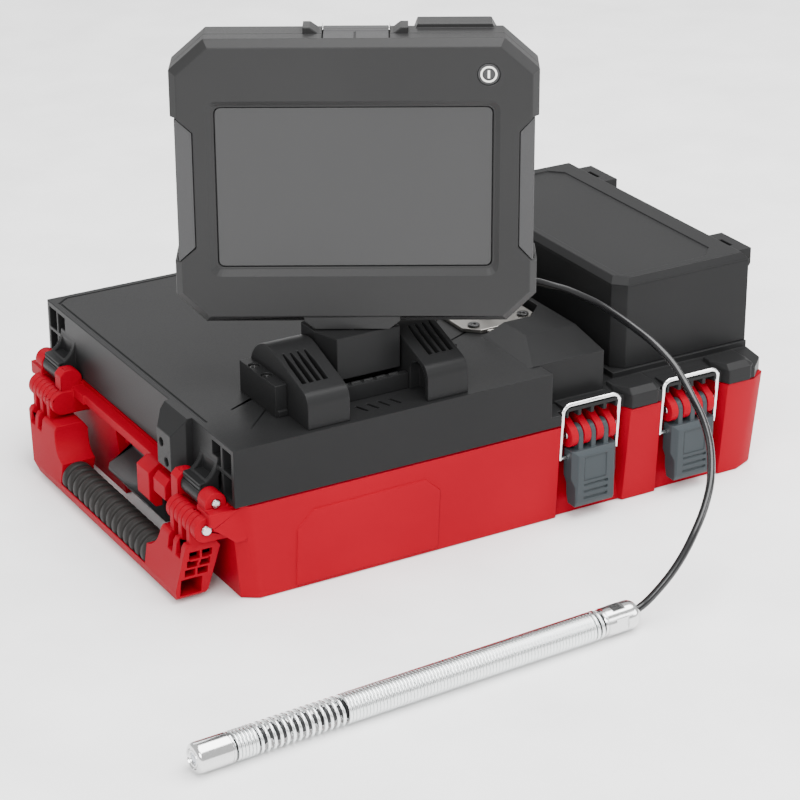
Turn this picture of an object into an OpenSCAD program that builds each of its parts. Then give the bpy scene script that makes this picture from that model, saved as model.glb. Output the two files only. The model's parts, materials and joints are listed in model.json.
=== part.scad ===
/* [Case] */
// Length of the case body, without the carry handle
case_l = 356; // [350:1:362]
// Depth of the case, front to back
case_d = 250; // [246:1:254]
// Height of the seam between the lower case and the lid
seam_z = 60; // [59:0.5:61]
// Height of the flat top of the lid
lid_z = 94.4; // [93.4:0.1:95.4]
// Thickness of the moulded walls
wall = 3.5; // [3:0.1:4]

/* [Latches] */
// Centre of the latch nearer the handle, along the case
latch_1_x = 52; // [51:0.5:53]
// Centre of the latch nearer the battery box, along the case
latch_2_x = 122; // [121:0.5:123]
// Width of a latch lever
latch_w = 30.8; // [30:0.1:31]
// Diameter of the wire of a latch bail
wire_d = 2.7; // [2.4:0.1:2.8]

/* [Handle] */
// Height of the carry handle's hinge pins
handle_pin_z = 48; // [47:0.5:49]
// Length of the rubber grip
grip_l = 116; // [110:1:120]
// Diameter of the rubber grip
grip_d = 19.8; // [19:0.1:20.5]

/* [Display] */
// Width of the display housing
mon_w = 198; // [192:1:200]
// Height of the lower edge of the display housing
mon_z0 = 135.6; // [135:0.1:137]
// Height of the upper edge of the display housing
mon_z1 = 297; // [294:0.1:300]
// Depth of the display housing
mon_d = 40; // [38:1:41]
// Angle that the display is turned towards the handle end
mon_turn = 29.9; // [29:0.1:30]

/* [Battery box] */
// Length of the battery box, front to back
bat_l = 193; // [190:1:196]
// Height of the battery box's top
bat_z = 130; // [128:0.5:132]

/* [Probe] */
// Diameter of the camera probe
probe_d = 16.3; // [16:0.1:16.6]
// Length of the camera probe
probe_l = 272; // [271:1:273]
// Diameter of the push cable
cable_d = 4.4; // [4.2:0.1:4.6]

/* [Hidden] */
$fn = 48;
eps = 0.01;
big = 400;
gap = 0.4;
run = 0.05;
x0 = -case_l / 2;
x1 = case_l / 2;
y1 = case_d / 2;
lid_b = seam_z + gap;
draft = 4;

// bays for the latches
bay_back = 111;
bay_low = 118.5;
bays = [[31, 73, 79.3], [101, 142.5, 148.8]];
deck_z = 70;
deck_edge_z = 67;
cap_z = 72;

// hinge of the lid at the handle end
hinge_x = -185;
hinge_z = 61.5;
hinge_pin_r = 2.5;
ear_r = 6.4;
barrel_r = 6;
hinge_c = 95;
barrel_h = 10.5;
ears = [[75.5, 84], [106, 116]];

// carry handle
handle_x = -192;
handle_pin_r = 3;
knuckle_r = 7.3;
grip_x = -196.5;
grip_y = -8;
grip_z = 12;
handle_shift = 8;
handle_fingers = [[87, 91.5], [97, 101.5], [107, 111.5]];
case_fingers = [[82, 86.5], [92, 96.5], [102, 106.5], [112, 118]];

// release lever at the handle end
release_x = x0 + 11;
release_z = 39;
release_r = 1.5;

// latch lever and bail
pivot_y = 121;
pivot_z = 51.5;
latch_pin_r = 2;
nose_r = 7;
lever_top = 43.5;
bail_y = 121.6;
bail_z = 38;
bail_top_y = 123.6;
bail_top_z = 71.7;
bail_half = 19.3;
red_fingers = [-15.4, -6.7, 2, 10.6];
red_finger_w = 4.8;
lever_finger_w = 3.4;
strike_half = 17.5;

// cable plate and raised section
plate_x = 36.5;
plate_y = -30;
plate_w = 49;
plate_t = 2.6;
plate_hole_r = 2.2;
screw_pitch = 34;
raised_z = 100.5;
raised_x0 = 17.5;
raised_x1 = 68;
lid_x1 = 24.5;

// display mount
tilt_x = -80.5;
tilt_y = -76;
tilt_z = 104.5;
shaft_r = 5;
swivel_y = -80;
stem_r = 6.5;
cheek_w = 26;
cheek_in = 24.5;
cheek_arch = 6.5;
hump_r = 23;
vent_w = 2.5;
foot_x = 54.2;
foot_screws = [-81, -66];
head_w = 45;
head_z0 = 106;
head_z1 = 131;

// display, in its own turned frame
mon_x0 = -96;
mon_x1 = mon_x0 + mon_w;
mon_y0 = -9.3;
mon_split = 4;
mon_y1 = mon_y0 + mon_d;
mon_flat = 18;
win = [-72.4, 77.4, 168.4, 259.8];
port_pin_y = 14.5;
port_pin_z = mon_z1 - 1;
grip_inset = 2.3;
button_x = 74.6;
button_z = 278;
button_r = 6;

// battery box
bat_x0 = 84;
bat_x1 = 178;
bat_y0 = -101;
bat_y1 = bat_y0 + bat_l;
door_z = 125.5;
door_x = 182;
door_pin_z = 120;
door_pin_r = 2;
door_hinges = [-78, 64];

// tub for the stored cable
tub_x = -45;
tub_r = 108;
coil_r0 = 66;
coil_r1 = 102;

// probe on the floor: its own frame runs from the nose to the cable
probe_r = probe_d / 2;
probe_at = [-273.4, -264, probe_r];
probe_turn = 2.86;
nose_l = 21;
open_l = 86;
rear_l = 247.5;

// centre line of the free push cable, from the plate to the probe
cable_route = [
    [36.5, -30, 96], [36.5, -30, 101], [37.5, -31, 107], [40.5, -34, 113], [46, -39.5, 117],
    [53, -47, 119], [58.5, -56, 120], [61.5, -66, 120.5], [64, -78, 121.5], [66, -90, 121.5],
    [69, -103, 120.5], [72.5, -117, 117.5], [76, -131, 113.5], [79.5, -145, 108.5],
    [82.5, -158, 101.5], [83.5, -168, 94.5], [82.5, -180, 87], [80, -192, 81.5], [76, -203, 77],
    [71, -213, 73], [64, -224, 67.5], [56, -234, 61.5], [46.5, -242, 53], [37.5, -247, 44.5],
    [29, -250, 35.5], [20.5, -251.5, 27], [12, -251.5, 19], [4, -251, 12.5], [-3, -250.7, 9]
];

// ---------- helpers ----------

// A box between two opposite corners.
module block(lo, hi) {
    translate(lo) cube(hi - lo);
}

// A cylinder along X from a to b at height z.
module rod_x(a, b, y, z, r) {
    translate([a, y, z]) rotate([0, 90, 0]) cylinder(h = b - a, r = r);
}

// A cylinder along Y from a to b.
module rod_y(a, b, x, z, r) {
    translate([x, b, z]) rotate([90, 0, 0]) cylinder(h = b - a, r = r);
}

// An outline in Y and Z, drawn out along X from a to b.
module along_x(a, b) {
    translate([a, 0, 0]) rotate([90, 0, 90]) linear_extrude(b - a) children();
}

// An outline in X and Z, drawn out along Y from a to b.
module along_y(a, b) {
    translate([0, b, 0]) rotate([90, 0, 0]) linear_extrude(b - a) children();
}

// The same shape on the front and on the back.
module both_sides() {
    children();
    mirror([0, 1, 0]) children();
}

// A rectangle with round corners, as points; r 0 leaves it square.
function round_rect(a, b, c, d, r) = [
    for (
        q = [[b - r, d - r, 0], [a + r, d - r, 90], [a + r, c + r, 180], [b - r, c + r, 270]],
        t = [0:22.5:90]
    )
        [q[0] + r * cos(q[2] + t), q[1] + r * sin(q[2] + t)]
];

// A rectangle with its four corners cut off.
module cut_rect(w, d, c) {
    a = w / 2;
    b = d / 2;
    polygon([
        [-a + c, -b], [a - c, -b], [a, -b + c], [a, b - c],
        [a - c, b], [-a + c, b], [-a, b - c], [-a, -b + c]
    ]);
}

// ---------- lower case ----------

module case_outline(inset_x, inset_y) {
    a = y1 - inset_y;
    polygon([
        [x0 + inset_x, -a + 6], [x0 + inset_x + 9, -a], [x1 - 10 - inset_x, -a],
        [x1 - inset_x / 2, -a + 6], [x1 - inset_x / 2, a - 6], [x1 - 10 - inset_x, a],
        [x0 + inset_x + 9, a], [x0 + inset_x, a - 6]
    ]);
}

module case_outside() {
    hull() {
        linear_extrude(eps) case_outline(6.7, draft);
        translate([0, 0, seam_z - eps]) linear_extrude(eps) case_outline(0, 0);
    }
}

// Recess behind a latch: upright near the seam and shallow at the base.
module latch_bay(bay) {
    intersection() {
        along_x(bay[0], bay[2])
            polygon([
                [-y1 - 5, -1], [-bay_low, -1], [-bay_back, 40],
                [-bay_back, seam_z + 1], [-y1 - 5, seam_z + 1]
            ]);
        translate([0, 0, -1])
            linear_extrude(seam_z + 2)
                polygon([
                    [bay[0], -bay_back + 1], [bay[1], -bay_back + 1], [bay[1], -bay_back],
                    [bay[2], -y1], [bay[2], -y1 - 5], [bay[0], -y1 - 5]
                ]);
    }
}

// One red knuckle that carries the pin of a latch lever.
module latch_knuckle(x) {
    difference() {
        along_x(x, x + red_finger_w)
            union() {
                translate([-pivot_y, pivot_z]) circle(r = nose_r);
                polygon([
                    [-pivot_y - 4.2, pivot_z + 5.6], [-bay_back + eps, pivot_z + 14],
                    [-bay_back + eps, pivot_z - nose_r], [-pivot_y, pivot_z - nose_r]
                ]);
            }
        rod_x(x - 1, x + red_finger_w + 1, -pivot_y, pivot_z, latch_pin_r);
    }
}

module latch_knuckles() {
    for (c = [latch_1_x, latch_2_x], dx = red_fingers)
        latch_knuckle(c + dx);
}

// Shallow raised panel on the front of the case.
module front_panel() {
    intersection() {
        translate([0, -0.7, 0]) case_outside();
        along_y(-y1 - 1, -y1 + 6)
            polygon([
                [-140, 2], [-140, 37.4], [-130, 48], [-59, 48.6], [-49, 39.3], [-49, 2]
            ]);
    }
}

// Ears that hold the pins of the lid's hinge, and the ledge that carries them.
module hinge_ears() {
    for (e = ears) {
        rod_y(-e[1], -e[0], hinge_x, hinge_z, ear_r);
        block([hinge_x - ear_r, -e[1], 51], [x0 + 1, -e[0], hinge_z - 2]);
    }
    // square shoulder with a slot, on the inner ear
    difference() {
        along_y(-ears[0][1], -ears[0][0])
            polygon([
                [hinge_x - 7.6, 51], [hinge_x - 7.6, hinge_z + 3.4], [hinge_x - 4.6, hinge_z + ear_r],
                [hinge_x, hinge_z + ear_r], [hinge_x, 51]
            ]);
        block([hinge_x - 4, -81.5, hinge_z + 4.4], [hinge_x - 1.4, -78.2, hinge_z + 8]);
    }
    block([x0 - 14, -y1 + 3, 51], [x0 + 8.5, -106, 58.5]);
    block([x0 - 7, -75.6, 51], [x0 + 1, -60, 57]);
    along_y(-y1 + 3, -118.5) polygon([[x0 - 14, 51], [x0 + 8, 51], [x0 + 8, 38], [x0 + 2, 38]]);
}

// The same shape at both ends of the carry handle, the far one a little nearer the middle.
module handle_sides() {
    children();
    translate([0, -handle_shift, 0]) mirror([0, 1, 0]) children();
}

module handle_knuckles() {
    for (f = case_fingers) {
        rod_y(-f[1], -f[0], handle_x, handle_pin_z, knuckle_r);
        block([handle_x, -f[1], handle_pin_z - knuckle_r], [x0 + 3, -f[0], handle_pin_z + knuckle_r]);
    }
}

module hinge_clearances() {
    rod_y(-106 + eps, -84 - eps, hinge_x, hinge_z, 8.4);
    rod_y(-130, -78, hinge_x, hinge_z, hinge_pin_r);
}

module knuckle_clearances() {
    rod_y(-130, -84, handle_x, handle_pin_z, handle_pin_r);
    for (f = handle_fingers)
        rod_y(-f[1] - 0.3, -f[0] + 0.3, handle_x, handle_pin_z, knuckle_r + 0.6);
}

module lower_case() {
    color("crimson")
    difference() {
        union() {
            difference() {
                case_outside();
                both_sides() for (bay = bays) latch_bay(bay);
                // hollow inside
                block([x0 + 19, -117, 3.5], [26, 117, seam_z - 5]);
                block([25, -106.5, 3.5], [x1 - 7.5, 106.5, seam_z - 5]);
                block([x0 + 22, -114, seam_z - 6], [25, 114, seam_z + 1]);
                block([24, -103.5, seam_z - 6], [x1 - 10.5, 103.5, seam_z + 1]);
                // recess of the release scoop
                block([x0 - 5, -35, -1], [x0 + 15, 35, 50]);
            }
            both_sides() {
                latch_knuckles();
                hinge_ears();
            }
            handle_sides() handle_knuckles();
            front_panel();
            block([x0 - 6, -60.5, 51.5], [x0 + 1, 60.5, 57]);
            stack_bracket();
            // lugs of the release lever's pin
            for (y = [-34, 30]) block([x0 + 7, y, 34], [x0 + 15.5, y + 4, 44]);
        }
        both_sides() hinge_clearances();
        handle_sides() knuckle_clearances();
        rod_y(-34.5, 34.5, release_x, release_z, release_r);
    }
}

// Red bracket with an open slot beside the handle.
module stack_bracket() {
    along_y(-47, -31)
        polygon([
            [x0 + 1, 57], [x0 - 9, 57], [x0 - 15, 53], [x0 - 15, 36], [x0 - 11, 31], [x0 - 7, 31],
            [x0 - 7, 44], [x0 + 1, 50]
        ]);
    block([x0 - 10, -54, 43], [x0 + 1, -46, 47]);
    along_y(-68, -53)
        polygon([
            [x0 + 1, 57], [x0 - 12, 57], [x0 - 15, 53], [x0 - 15, 45], [x0 - 12, 42], [x0 + 1, 42]
        ]);
}

module lid_hinge_pins() {
    color("silver")
    both_sides() {
        rod_y(-116.4, -78.1, hinge_x, hinge_z, hinge_pin_r);
        rod_y(-117.2, -116.3, hinge_x, hinge_z, hinge_pin_r - 0.5);
    }
}

module handle_pins() {
    color("silver")
    handle_sides() {
        rod_y(-118.6, -84.1, handle_x, handle_pin_z, handle_pin_r);
        rod_y(-119.4, -118.5, handle_x, handle_pin_z, handle_pin_r - 0.6);
    }
}

module latch_pins() {
    color("silver")
    both_sides()
        for (c = [latch_1_x, latch_2_x])
            rod_x(c - 15.8, c + 15.8, -pivot_y, pivot_z, latch_pin_r);
}

// Round tub that the stored cable lies in.
module cable_tub() {
    color("dimgray")
    translate([tub_x, 0, 3.5])
        rotate_extrude($fn = 96)
            polygon([
                [30, 0], [tub_r, 0], [tub_r, 46], [tub_r - 2.5, 46],
                [tub_r - 2.5, 2], [30, 2]
            ]);
}

module stored_cable() {
    color("black")
    translate([tub_x, 0, 5.5])
        rotate_extrude($fn = 96)
            translate([coil_r0, 0]) square([coil_r1 - coil_r0, 34]);
}

// Scoop that lets go of the unit that the case is stacked on.
module stack_release() {
    color("dimgray")
    difference() {
        union() {
            intersection() {
                along_y(-26, 26)
                    polygon([
                        [x0 + 8, 41], [x0 + 14, 41], [x0 + 14, 28], [x0 + 8, 23], [x0 + 8, 8],
                        [x0 + 4, 8], [x0 - 7, 23], [x0 - 9.6, 25], [x0 - 9, 27], [x0 + 8, 34.5]
                    ]);
                // front edge that falls back towards one side
                linear_extrude(big)
                    polygon([
                        [x0 + 20, -26], [x0 + 20, 26], [x0 - 7, 26], [x0 - 9.6, 22], [x0 - 9.6, 6],
                        [x0 - 7, -8], [x0 - 2, -20], [x0 + 3, -26]
                    ]);
            }
            for (y = [-29.5, 25.5]) block([x0 + 8, y, 30], [x0 + 13.5, y + 4, 41.5]);
        }
        rod_y(-31, 31, release_x, release_z, release_r + run);
    }
}

module release_pin() {
    color("silver") rod_y(-34, 34, release_x, release_z, release_r);
}

// ---------- lid ----------

// Ledge of the lid between two latches, with cut corners.
module pillar_cap(a, b) {
    hull() {
        translate([0, 0, lid_b])
            linear_extrude(8.5)
                polygon([
                    [a, -108], [a, -113], [a + 6.3, -y1 - 1], [b - 4, -y1 - 1], [b, -y1 + 2], [b, -108]
                ]);
        translate([0, 0, cap_z - 1])
            linear_extrude(1)
                polygon([
                    [a + 1, -106], [a + 1, -112], [a + 7, -y1 + 3], [b - 5, -y1 + 3], [b - 3, -y1 + 6],
                    [b - 3, -106]
                ]);
    }
}

module lid_outside() {
    // part under the display
    block([x0, -y1, lid_b], [lid_x1, y1, lid_z]);
    // raised section with sloped sides
    intersection() {
        along_x(13.5, raised_x1)
            polygon([
                [-112, lid_b], [-112, 95], [-82, raised_z], [82, raised_z], [112, 95], [112, lid_b]
            ]);
        along_y(-120, 120)
            polygon([
                [13.5, lid_b], [13.5, lid_z - 1], [raised_x0, lid_z], [raised_x0 + 16, raised_z],
                [raised_x1, raised_z], [raised_x1, lid_b]
            ]);
    }
    // deck under the battery box
    intersection() {
        along_x(lid_x1 - 1, x1)
            polygon([
                [-y1, lid_b], [-y1, deck_edge_z], [-104, deck_z], [104, deck_z],
                [y1, deck_edge_z], [y1, lid_b]
            ]);
        linear_extrude(big)
            polygon([
                [lid_x1 - 1, -y1], [x1 - 10, -y1], [x1, -y1 + 9], [x1, y1 - 9], [x1 - 10, y1],
                [lid_x1 - 1, y1]
            ]);
    }
    // ledge round the foot of the battery box
    translate([bat_x0 - 3, bat_y0 - 1.5, lid_b]) cube([x1 - bat_x0 + 3, bat_l + 3, 13.6]);
}

// Notches above the latches, where the bails reach the lid.
module lid_notch(bay) {
    block([bay[0], -y1 - 5, lid_b - 1], [bay[1] + 1, -113, 66]);
    block([bay[0], -y1 - 5, lid_b - 1], [bay[2], -120.5, 80]);
}

// Bar that a bail pulls on.
module strike(c) {
    block([c - strike_half, -125.2, 64.5], [c + strike_half, -112, 70]);
}

// Pockets under the bar, for the red knuckles.
module strike_pockets(c) {
    for (dx = red_fingers)
        block([c + dx - 0.7, -126, 60], [c + dx + red_finger_w + 0.7, -110.5, 68]);
}

// Corner of the lid at the hinge: four open pockets between ribs.
module corner_pockets() {
    for (i = [0, 1], j = [0, 1])
        block(
            [x0 - 1, -y1 + 3.5 + 12.5 * i, 63.5 + 15 * j],
            [x0 + 15, -y1 + 13.5 + 12.5 * i, 76 + 15 * j]
        );
}

// Curved arm that carries the barrel of the lid's hinge.
module hinge_arm() {
    arc_x = x0 - 15.5;
    arc_z = 83;
    arc_r = 15.5;
    difference() {
        union() {
            along_y(-hinge_c - barrel_h, -hinge_c + barrel_h)
                union() {
                    polygon(concat(
                        [for (a = [0:-7.5:-75]) [arc_x + arc_r * cos(a), arc_z + arc_r * sin(a)]],
                        [for (a = [-60:7.5:0]) [arc_x + (arc_r + 4) * cos(a), arc_z + (arc_r + 4) * sin(a)]]
                    ));
                    polygon([
                        [hinge_x - 4.5, hinge_z + 4], [hinge_x - 4.2, hinge_z + 8],
                        [hinge_x + 2.5, hinge_z + 8.5], [x0 + 0.5, hinge_z + 12],
                        [x0 + 0.5, hinge_z + 1], [hinge_x + 5, hinge_z]
                    ]);
                }
            rod_y(-hinge_c - barrel_h, -hinge_c + barrel_h, hinge_x, hinge_z, barrel_r);
        }
        rod_y(-hinge_c - 12, -hinge_c + 12, hinge_x, hinge_z, hinge_pin_r + run);
        // hollow between the two ribs of the arm
        block([x0 - 16, -hinge_c - 7, hinge_z + 9], [x0 - 0.5, -hinge_c + 7, 80]);
    }
}

// Post with two cross holes, beside the near hinge.
module lid_post() {
    difference() {
        intersection() {
            translate([0, 0, seam_z + 1.2])
                linear_extrude(lid_z - seam_z - 1.2)
                    polygon([
                        [x0 + 1, -74.9], [x0 - 4, -74.9], [x0 - 11, -69], [x0 - 11, -52], [x0 - 6, -46],
                        [x0 + 1, -46]
                    ]);
            along_y(-80, -40)
                polygon([[x0 + 2, 60], [x0 - 11, 60], [x0 - 11, 83], [x0 - 3, lid_z], [x0 + 2, lid_z]]);
        }
        for (h = [[-57.2, 75.6], [-63.2, 65.6]])
            translate([x0 + 2, h[0], h[1]]) rotate([0, -90, 0]) cylinder(h = 14, r = 2.5);
    }
}

module top_cover() {
    color([0.29, 0.3, 0.31])
    difference() {
        union() {
            difference() {
                lid_outside();
                both_sides() for (bay = bays) lid_notch(bay);
                // hollow inside
                block([x0 + 18, -y1 + wall + 3, lid_b - 1], [lid_x1 - wall, y1 - wall - 3, lid_z - 3]);
                block([x0 + wall + 3, -y1 + 30, lid_b - 1], [x0 + 19, y1 - 30, lid_z - 3]);
                block([26, -109, lid_b - 1], [raised_x1 - 3, 109, 91]);
                block([raised_x1 - 4, -104, lid_b - 1], [x1 - 7, 104, 66.5]);
                // seat of the cable plate
                translate([plate_x, plate_y, lid_z]) linear_extrude(20) cut_rect(56, 56, 12);
                // groove that sets off a narrow rim along the handle end and the back
                translate([x0 + 3.5, -84, lid_z - 0.8]) cube([1.4, 84 + y1 - 10, 1]);
                translate([x0 + 11.5, y1 - 4.9, lid_z - 0.8]) cube([lid_x1 - x0 - 18, 1.4, 1]);
                translate([x0 + 4.2, y1 - 11.2, lid_z - 0.8]) rotate([0, 0, 40]) cube([10, 1.4, 1]);
                both_sides() corner_pockets();
                // slots in front of the display mount
                for (i = [0:3])
                    translate([-92 + 7 * i, -111, lid_z]) rotate([0, 0, 20]) cube([2, 9, 2.4], center = true);
            }
            both_sides() {
                for (c = [latch_1_x, latch_2_x]) strike(c);
                hinge_arm();
            }
            lid_post();
        }
        both_sides() for (c = [latch_1_x, latch_2_x]) strike_pockets(c);
        translate([plate_x, plate_y, 80]) cylinder(h = 30, r = 9);
        for (dx = [-1, 1], dy = [-1, 1])
            translate([plate_x + dx * screw_pitch / 2, plate_y + dy * screw_pitch / 2, 84])
                cylinder(h = 20, r = plate_hole_r);
        for (s = [-1, 1], y = foot_screws)
            translate([tilt_x + s * foot_x, y, 84]) cylinder(h = 20, r = 1.8);
    }
    color([0.29, 0.3, 0.31]) both_sides() {
        pillar_cap(bays[0][1], bays[1][0]);
        pillar_cap(bays[1][1], x1 - 10);
    }
}

// Outline of the seal at a given inset from the outside.
module seal_outline(i) {
    a = y1 - i;
    b = 112.4 - 0.6 * i;
    polygon([
        [x0 + i, -a], [27 - i, -a], [27 - i, -b], [x1 - i, -b],
        [x1 - i, b], [27 - i, b], [27 - i, a], [x0 + i, a]
    ]);
}

// Seal that the lid presses onto the rim of the lower case.
module lid_gasket() {
    color([0.1, 0.1, 0.1])
    translate([0, 0, seam_z + run])
        linear_extrude(gap - 2 * run)
            difference() {
                seal_outline(3);
                seal_outline(5.5);
            }
}

// ---------- mount of the display ----------

// Side of one cheek, seen along X.
module cheek_side() {
    polygon(concat(
        [[-122, lid_z]],
        [for (a = [180:-13:115]) [-113 + 9 * cos(a), 107 + 9 * sin(a)]],
        [for (a = [111:-9:3]) [tilt_y + hump_r * cos(a), tilt_z + hump_r * sin(a)]],
        [[tilt_y + hump_r, tilt_z], [tilt_y + hump_r, lid_z]]
    ));
}

// One cheek, with its inner side towards +X.
module cheek() {
    difference() {
        along_x(-cheek_in - cheek_w, -cheek_in) cheek_side();
        // arched hollow, open towards the middle and below
        block([-cheek_in - cheek_arch, -118.8, lid_z - 1], [-cheek_in + 1, -102.2, 105.5]);
        rod_x(-cheek_in - cheek_arch, -cheek_in + 1, -110.5, 105.5, 8.3);
        // vents on the slope
        for (i = [0:3])
            translate([-cheek_in - cheek_w + 4.2 + 4.4 * i, -99, 120.5])
                rotate([18, 0, 0])
                    linear_extrude(9, center = true)
                        polygon([
                            [-vent_w / 2, -12], [vent_w / 2, -12], [vent_w / 2, 4], [0.4, 14],
                            [-0.4, 14], [-vent_w / 2, 4]
                        ]);
        rod_x(-cheek_in - cheek_w - 1, -cheek_in + 1, tilt_y, tilt_z, shaft_r);
    }
}

module left_cheek() {
    color([0.3, 0.31, 0.32]) translate([tilt_x, 0, 0]) cheek();
}

module right_cheek() {
    color([0.3, 0.31, 0.32]) translate([tilt_x, 0, 0]) mirror([1, 0, 0]) cheek();
}

// Bar across the front of the tilting head.
module cross_bar() {
    color([0.27, 0.28, 0.29])
    translate([tilt_x, 0, 0]) {
        block([-cheek_in, -100.5, lid_z], [cheek_in, -96, 104]);
        for (i = [-2:2]) rod_x(8 * i - 3, 8 * i + 3, -98.2, 104, 1.2);
    }
}

// Block beside each cheek that its screws go through.
module mount_feet() {
    color([0.3, 0.31, 0.32])
    translate([tilt_x, 0, 0])
        for (s = [-1, 1])
            translate([s * foot_x, 0, 0])
                difference() {
                    union() {
                        block([-3.7, -98, lid_z], [3.7, -55, 113]);
                        block([-2.2, -99.2, lid_z], [3.7, -70, 98]);
                    }
                    for (y = foot_screws) {
                        translate([0, y, 84]) cylinder(h = 40, r = 1.8);
                        translate([0, y, 109.5]) cylinder(h = 10, r = 3.1);
                    }
                }
}

module mount_screws() {
    color([0.12, 0.12, 0.12])
    for (s = [-1, 1], y = foot_screws)
        translate([tilt_x + s * foot_x, y, 0])
            difference() {
                union() {
                    translate([0, 0, 109.5]) cylinder(h = 2.6, r = 2.9);
                    translate([0, 0, 88]) cylinder(h = 22, r = 1.8);
                }
                translate([0, 0, 110.8]) cylinder(h = 4, r = 1.4, $fn = 6);
            }
}

module tilt_shaft() {
    color("silver") rod_x(tilt_x - 47, tilt_x + 47, tilt_y, tilt_z, shaft_r);
}

// Friction washers between the head and the cheeks.
module tilt_washers() {
    color([0.15, 0.15, 0.15])
    for (s = [-1, 1])
        translate([tilt_x + s * (cheek_in - 0.75), 0, 0])
            difference() {
                rod_x(-0.75, 0.75, tilt_y, tilt_z, 8);
                rod_x(-1, 1, tilt_y, tilt_z, shaft_r);
            }
}

// Head that tilts between the cheeks and carries the display.
module tilt_head() {
    color([0.25, 0.26, 0.27])
    difference() {
        union() {
            translate([tilt_x, 0, head_z0])
                linear_extrude(head_z1 - head_z0)
                    polygon([
                        [-head_w / 2, -62], [-head_w / 2, -79], [-head_w / 2 + 5, -95], [head_w / 2, -95],
                        [head_w / 2, -62]
                    ]);
            rod_x(tilt_x - cheek_in + 1.6, tilt_x + cheek_in - 1.6, tilt_y, tilt_z, 9.3);
        }
        rod_x(tilt_x - 40, tilt_x + 40, tilt_y, tilt_z, shaft_r + run);
        translate([tilt_x, swivel_y, 116]) cylinder(h = 20, r = stem_r + run);
    }
}

// ---------- plate where the cable comes out ----------

module guide_plate() {
    color([0.6, 0.59, 0.57])
    translate([plate_x, plate_y, lid_z])
        difference() {
            union() {
                linear_extrude(plate_t) cut_rect(plate_w, plate_w, 8);
                block([-12, -plate_w / 2 - 3, 0], [-4, -plate_w / 2 + 1, 1.4]);
            }
            translate([0, 0, -1]) cylinder(h = 10, r = 9);
            for (dx = [-1, 1], dy = [-1, 1])
                translate([dx * screw_pitch / 2, dy * screw_pitch / 2, -1])
                    cylinder(h = 10, r = plate_hole_r);
        }
}

module plate_screws() {
    color([0.12, 0.12, 0.12])
    for (dx = [-1, 1], dy = [-1, 1])
        translate([plate_x + dx * screw_pitch / 2, plate_y + dy * screw_pitch / 2, 0])
            difference() {
                union() {
                    translate([0, 0, lid_z + plate_t]) cylinder(h = 1.4, r = 3.6);
                    translate([0, 0, 86]) cylinder(h = 12, r = plate_hole_r);
                }
                translate([0, 0, lid_z + plate_t + 0.4]) cylinder(h = 2, r = 1.5, $fn = 6);
            }
}

// Bush that the push cable slides through.
module cable_bush() {
    color([0.1, 0.1, 0.1])
    translate([plate_x, plate_y, 0])
        rotate_extrude()
            polygon([
                [2.6, 88], [9, 88], [9, lid_z + plate_t], [11, lid_z + plate_t],
                [10, 100], [4.5, 100], [2.6, 97]
            ]);
}

// ---------- battery box ----------

module bat_outline(i) {
    a = bat_x0 + i;
    b = bat_x1 - i;
    c = bat_y0 + i;
    d = bat_y1 - i;
    polygon([[a + 7, c], [b, c], [b, d], [a + 7, d], [a, d - 7], [a, c + 7]]);
}

module door_ear(y) {
    rod_y(y - 5, y + 5, door_x, door_pin_z, 3.6);
    block([bat_x1 - 1, y - 5, 112], [door_x, y + 5, door_pin_z + 1]);
}

module battery_box() {
    color([0.28, 0.29, 0.3])
    difference() {
        union() {
            translate([0, 0, 74]) linear_extrude(door_z - 74) bat_outline(0);
            for (y = door_hinges) door_ear(y);
        }
        translate([0, 0, 76]) linear_extrude(60) bat_outline(3);
        for (y = door_hinges) rod_y(y - 6, y + 6, door_x, door_pin_z, door_pin_r);
    }
}

// Slide-on pack: body, shoulder and rails.
module battery_pack() {
    color([0.12, 0.12, 0.12])
    difference() {
        union() {
            block([94, -88, 76], [163, 4, 112]);
            block([100, -82, 112], [157, -4, 121]);
        }
        for (x = [99, 154]) block([x, -89, 101], [x + 4, -40, 113]);
        for (i = [0:4]) block([92, -80 + 16 * i, 84], [95, -74 + 16 * i, 104]);
    }
}

module battery_terminals() {
    color([0.2, 0.2, 0.2])
    union() {
        block([108, 4, 76], [149, 16, 104]);
        for (x = [114, 123, 132, 141]) block([x, 15.9, 96], [x + 2, 20, 103]);
    }
}

module power_board() {
    color([0.05, 0.3, 0.15])
    union() {
        block([90, 30, 76], [167, 84, 78]);
        block([96, 38, 78], [112, 56, 90]);
        for (x = [124, 138, 152]) translate([x, 46, 78]) cylinder(h = 16, r = 5);
        block([118, 60, 78], [158, 76, 86]);
    }
}

module door_pins() {
    color("silver")
    for (y = door_hinges) rod_y(y - 15, y + 15, door_x, door_pin_z, door_pin_r);
}

// Hinged top of the battery box.
module battery_door() {
    color([0.29, 0.29, 0.3])
    difference() {
        union() {
            hull() {
                translate([0, 0, door_z + gap]) linear_extrude(eps) bat_outline(0);
                translate([0, 0, bat_z - eps]) linear_extrude(eps) bat_outline(3.5);
            }
            for (y = door_hinges, d = [-15, 5.5]) {
                rod_y(y + d, y + d + 9.5, door_x, door_pin_z, 3.6);
                block([door_x - 3.6, y + d, door_pin_z], [door_x + 3.6, y + d + 9.5, bat_z - 1]);
                block([bat_x1 - 5, y + d, door_z + gap], [door_x, y + d + 9.5, bat_z - 1]);
            }
            for (y = door_hinges) block([bat_x1 + 0.4, y - 5.6, 124.4], [door_x + 3.6, y + 5.6, bat_z - 1]);
        }
        // shallow panel on the top
        translate([0, 0, bat_z - 0.8])
            linear_extrude(2)
                polygon([
                    [92, -92], [152, -92], [162, -82], [162, 74], [154, 82], [92, 82]
                ]);
        for (y = door_hinges) rod_y(y - 16, y + 16, door_x, door_pin_z, door_pin_r + run);
    }
}

// ---------- display ----------

// Places a shape drawn in the display's own frame.
module in_display() {
    translate([tilt_x, swivel_y, 0]) rotate([0, 0, -mon_turn]) children();
}

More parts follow.
